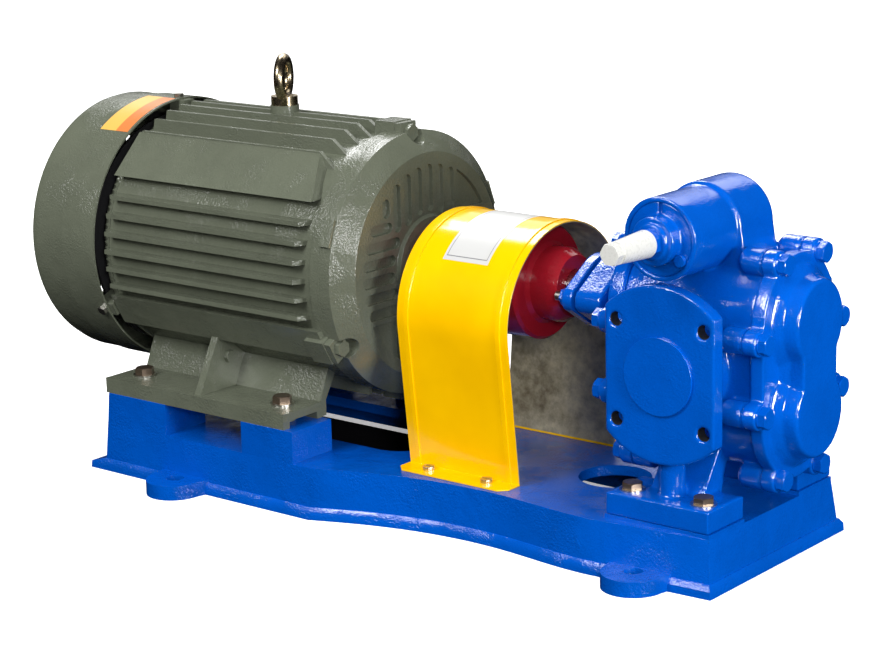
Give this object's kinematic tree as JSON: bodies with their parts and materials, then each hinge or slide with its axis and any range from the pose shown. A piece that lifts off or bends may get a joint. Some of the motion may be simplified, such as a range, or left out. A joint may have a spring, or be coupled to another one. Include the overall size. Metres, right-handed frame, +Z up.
{
  "type": "motor driven gear pump set",
  "caption": "External gear pump with side ports and a relief valve, driven by a foot mounted motor through a guarded pin coupling on one cast base.",
  "frame": {"origin": "the floor, midway between the two foundation holes at the pump end", "axes": "+X along the shafts from the motor to the pump, +Y away from the side with the relief valve's adjuster, +Z up"},
  "size_m": [0.9535, 0.4459, 0.464],
  "materials": {
    "blue_paint": "glossy enamel on cast iron",
    "grey_green_paint": "satin machine enamel",
    "yellow_paint": "glossy enamel on sheet steel",
    "red_paint": "glossy enamel",
    "bronzed_steel": "dark bronzed bolts",
    "plated_steel": "zinc plated",
    "yellow_zinc": "yellow passivated zinc",
    "ground_steel": "ground and turned",
    "bronze": "bearing bronze",
    "fibre": "gasket and packing fibre",
    "rubber": "moulded rubber",
    "white_plastic": "smooth white plastic",
    "black_plastic": "moulded",
    "copper_windings": "varnished winding heads",
    "aluminium_rotor": "die cast rings"
  },
  "bodies": {
    "fixed_set": {"base_casting": "blue_paint", "pump_body": "blue_paint", "rear_cover": "blue_paint", "front_cover": "blue_paint", "rear_gasket": "fibre", "front_gasket": "fibre", "rear_bushes": "bronze", "front_bushes": "bronze", "rear_wear_plate": "bronze", "front_wear_plate": "bronze", "cover_bolts": "blue_paint", "pump_foot_bolts": "bronzed_steel", "gland_studs": "plated_steel", "packing_rings": "fibre", "valve_bonnet": "blue_paint", "bonnet_screw": "blue_paint", "relief_spring": "ground_steel", "lock_nut": "blue_paint", "coupling_guard": "yellow_paint", "guard_screws": "plated_steel", "motor_frame": "grey_green_paint", "drive_end_shield": "grey_green_paint", "rear_end_shield": "grey_green_paint", "end_shield_bolts": "grey_green_paint", "earthing_screw": "grey_green_paint", "drive_end_bearing": "ground_steel", "rear_bearing": "ground_steel", "stator": "copper_windings", "fan_cowl": "grey_green_paint", "cowl_screws": "plated_steel", "motor_foot_bolts": "bronzed_steel", "motor_foot_washers": "plated_steel", "terminal_box": "grey_green_paint", "terminal_box_lid": "grey_green_paint", "cable_gland": "black_plastic", "eyebolt": "yellow_zinc"},
    "motor_rotor": {"rotor_core": "aluminium_rotor", "motor_shaft": "ground_steel", "motor_shaft_key": "ground_steel", "cooling_fan": "black_plastic", "motor_coupling_half": "red_paint", "coupling_pins": "plated_steel", "coupling_sleeves": "rubber"},
    "pump_drive": {"drive_gear": "ground_steel", "drive_shaft": "ground_steel", "pump_shaft_key": "ground_steel", "pump_coupling_half": "red_paint"},
    "pump_driven": {"driven_gear": "ground_steel", "driven_shaft": "ground_steel"},
    "poppet": {"valve_poppet": "ground_steel"},
    "spring_plate": {"spring_plate": "ground_steel"},
    "adjusting_screw": {"adjusting_screw": "plated_steel"},
    "gland": {"gland": "blue_paint", "gland_nuts": "blue_paint"},
    "adjuster_cap": {"adjuster_cap": "white_plastic"},
    "near_port_cap": {"near_port_cap": "blue_paint"},
    "far_port_cap": {"far_port_cap": "blue_paint"}
  },
  "joints": [
    {"name": "motor_spin", "type": "hinge", "parent": "fixed_set", "child": "motor_rotor", "pos_m": [-0.5, 0, 0.25], "axis": [1, 0, 0], "continuous": true},
    {"name": "pump_drive_spin", "type": "hinge", "parent": "fixed_set", "child": "pump_drive", "pos_m": [0.012, 0, 0.25], "axis": [1, 0, 0], "continuous": true},
    {"name": "pump_driven_spin", "type": "hinge", "parent": "fixed_set", "child": "pump_driven", "pos_m": [0.012, 0, 0.16023], "axis": [1, 0, 0], "continuous": true},
    {"name": "valve_lift", "type": "slide", "parent": "fixed_set", "child": "poppet", "axis": [0, -1, 0], "range_m": [0, 0.012], "stiffness_N_per_m": 20000, "springref_m": -0.005, "deforming": ["relief_spring"]},
    {"name": "adjust_advance", "type": "slide", "parent": "fixed_set", "child": "spring_plate", "axis": [0, 1, 0], "range_m": [-0.006, 0.006]},
    {"name": "adjust_turn", "type": "hinge", "parent": "spring_plate", "child": "adjusting_screw", "pos_m": [0.012, -0.1, 0.3375], "axis": [0, 1, 0], "range_deg": [-1080.01, 1080.01]},
    {"name": "gland_take_up", "type": "slide", "parent": "fixed_set", "child": "gland", "axis": [1, 0, 0], "range_m": [0, 0.003], "deforming": ["packing_rings"]},
    {"name": "cap_pull", "type": "slide", "parent": "fixed_set", "child": "adjuster_cap", "axis": [0, -1, 0], "range_m": [0, 0.07]},
    {"name": "near_port_cap_pull", "type": "slide", "parent": "fixed_set", "child": "near_port_cap", "axis": [0, -1, 0], "range_m": [0, 0.03]},
    {"name": "far_port_cap_pull", "type": "slide", "parent": "fixed_set", "child": "far_port_cap", "axis": [0, 1, 0], "range_m": [0, 0.03]}
  ],
  "couplings": [
    {"joint": "pump_drive_spin", "follows": "motor_spin", "ratio": 1},
    {"joint": "pump_driven_spin", "follows": "motor_spin", "ratio": -1},
    {"joint": "adjust_turn", "follows": "adjust_advance", "rad_per_m": 3141.6}
  ]
}
